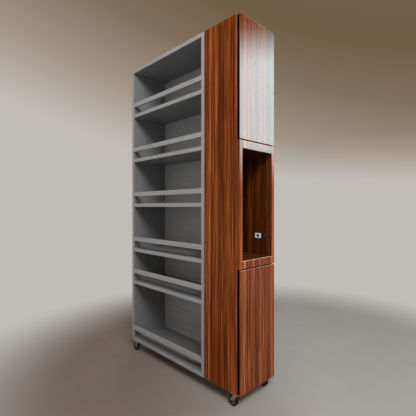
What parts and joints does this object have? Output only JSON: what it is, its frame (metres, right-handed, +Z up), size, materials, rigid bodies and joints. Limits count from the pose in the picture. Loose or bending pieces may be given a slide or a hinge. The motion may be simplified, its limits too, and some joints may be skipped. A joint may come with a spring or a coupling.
{
  "type": "rolling pantry cart",
  "caption": "Tall narrow rolling pantry cart: open shelves with retaining rails beside a closed wood tower with hinged doors, a display niche and swivel casters.",
  "frame": {"origin": "on the floor, under the middle of the cart's footprint", "axes": "+Z up, +X towards the end with the doors, -Y towards the open side of the shelves"},
  "size_m": [1.105, 0.333, 2.205],
  "materials": {
    "grey_board": "grey melamine board with a fine straight grain, satin",
    "tower_wood": "red-brown striped veneer, satin lacquer",
    "door_wood": "red-brown striped veneer, polished lacquer",
    "dowel_wood": "plain beech",
    "zinc_steel": "zinc plated",
    "hinge_steel": "satin nickel",
    "catch_plastic": "brown moulded plastic",
    "outlet_plastic": "white moulded plastic",
    "socket_plastic": "dark moulded plastic",
    "black_rubber": "black rubber",
    "caster_steel": "bright zinc",
    "axle_steel": "dark oiled steel",
    "tyre_rubber": "black tread rubber",
    "hub_plastic": "grey moulded plastic"
  },
  "bodies": {
    "cabinet": {"shelf_end_panel": "grey_board", "shelf_inner_panel": "grey_board", "top_board": "grey_board", "bottom_board": "grey_board", "shelf_1": "grey_board", "shelf_2": "grey_board", "shelf_3": "grey_board", "shelf_4": "grey_board", "shelf_5": "grey_board", "rail_1": "grey_board", "rail_2": "grey_board", "rail_3": "grey_board", "rail_4": "grey_board", "rail_5": "grey_board", "rail_6": "grey_board", "shelf_back_panel": "grey_board", "tower_front_side": "tower_wood", "tower_rear_side": "tower_wood", "tower_back": "tower_wood", "tower_bottom": "tower_wood", "niche_sill": "tower_wood", "niche_header": "tower_wood", "tower_top": "tower_wood", "lower_cabinet_shelf": "tower_wood", "upper_cabinet_shelf": "tower_wood", "assembly_screws": "zinc_steel", "rail_dowels": "dowel_wood", "tower_dowels": "dowel_wood", "module_bolts": "zinc_steel", "caster_screws": "zinc_steel", "shelf_pins": "zinc_steel", "carcass_hinge_leaves": "hinge_steel", "hinge_pins": "hinge_steel", "magnetic_catches": "catch_plastic", "outlet_frame": "outlet_plastic", "outlet_socket": "socket_plastic", "cable_grommet": "black_rubber", "caster_plates": "caster_steel"},
    "lower_door": {"lower_door": "door_wood", "lower_door_hinge_leaves": "hinge_steel", "lower_door_strike": "hinge_steel"},
    "upper_door": {"upper_door": "door_wood", "upper_door_hinge_leaves": "hinge_steel", "upper_door_strike": "hinge_steel"},
    "front_left_swivel": {"front_left_caster_fork": "caster_steel", "front_left_caster_axle": "axle_steel"},
    "front_left_wheel": {"front_left_caster_tyre": "tyre_rubber", "front_left_caster_hub": "hub_plastic"},
    "rear_left_swivel": {"rear_left_caster_fork": "caster_steel", "rear_left_caster_axle": "axle_steel"},
    "rear_left_wheel": {"rear_left_caster_tyre": "tyre_rubber", "rear_left_caster_hub": "hub_plastic"},
    "front_right_swivel": {"front_right_caster_fork": "caster_steel", "front_right_caster_axle": "axle_steel"},
    "front_right_wheel": {"front_right_caster_tyre": "tyre_rubber", "front_right_caster_hub": "hub_plastic"},
    "rear_right_swivel": {"rear_right_caster_fork": "caster_steel", "rear_right_caster_axle": "axle_steel"},
    "rear_right_wheel": {"rear_right_caster_tyre": "tyre_rubber", "rear_right_caster_hub": "hub_plastic"}
  },
  "joints": [
    {"name": "lower_door_hinge", "type": "hinge", "parent": "cabinet", "child": "lower_door", "pos_m": [0.535, 0.1622, 0.4255], "axis": [0, 0, 1], "range_deg": [0, 105]},
    {"name": "upper_door_hinge", "type": "hinge", "parent": "cabinet", "child": "upper_door", "pos_m": [0.535, 0.1622, 1.8565], "axis": [0, 0, 1], "range_deg": [0, 105]},
    {"name": "front_left_swivel_turn", "type": "hinge", "parent": "cabinet", "child": "front_left_swivel", "pos_m": [-0.5005, -0.1445, 0.072], "axis": [0, 0, 1], "continuous": true},
    {"name": "front_left_wheel_spin", "type": "hinge", "parent": "front_left_swivel", "child": "front_left_wheel", "pos_m": [-0.5215, -0.1445, 0.03], "axis": [0, 1, 0], "continuous": true},
    {"name": "rear_left_swivel_turn", "type": "hinge", "parent": "cabinet", "child": "rear_left_swivel", "pos_m": [-0.5005, 0.1445, 0.072], "axis": [0, 0, 1], "continuous": true},
    {"name": "rear_left_wheel_spin", "type": "hinge", "parent": "rear_left_swivel", "child": "rear_left_wheel", "pos_m": [-0.5215, 0.1445, 0.03], "axis": [0, 1, 0], "continuous": true},
    {"name": "front_right_swivel_turn", "type": "hinge", "parent": "cabinet", "child": "front_right_swivel", "pos_m": [0.5085, -0.1445, 0.072], "axis": [0, 0, 1], "continuous": true},
    {"name": "front_right_wheel_spin", "type": "hinge", "parent": "front_right_swivel", "child": "front_right_wheel", "pos_m": [0.4875, -0.1445, 0.03], "axis": [0, 1, 0], "continuous": true},
    {"name": "rear_right_swivel_turn", "type": "hinge", "parent": "cabinet", "child": "rear_right_swivel", "pos_m": [0.5085, 0.1445, 0.072], "axis": [0, 0, 1], "continuous": true},
    {"name": "rear_right_wheel_spin", "type": "hinge", "parent": "rear_right_swivel", "child": "rear_right_wheel", "pos_m": [0.4875, 0.1445, 0.03], "axis": [0, 1, 0], "continuous": true}
  ]
}
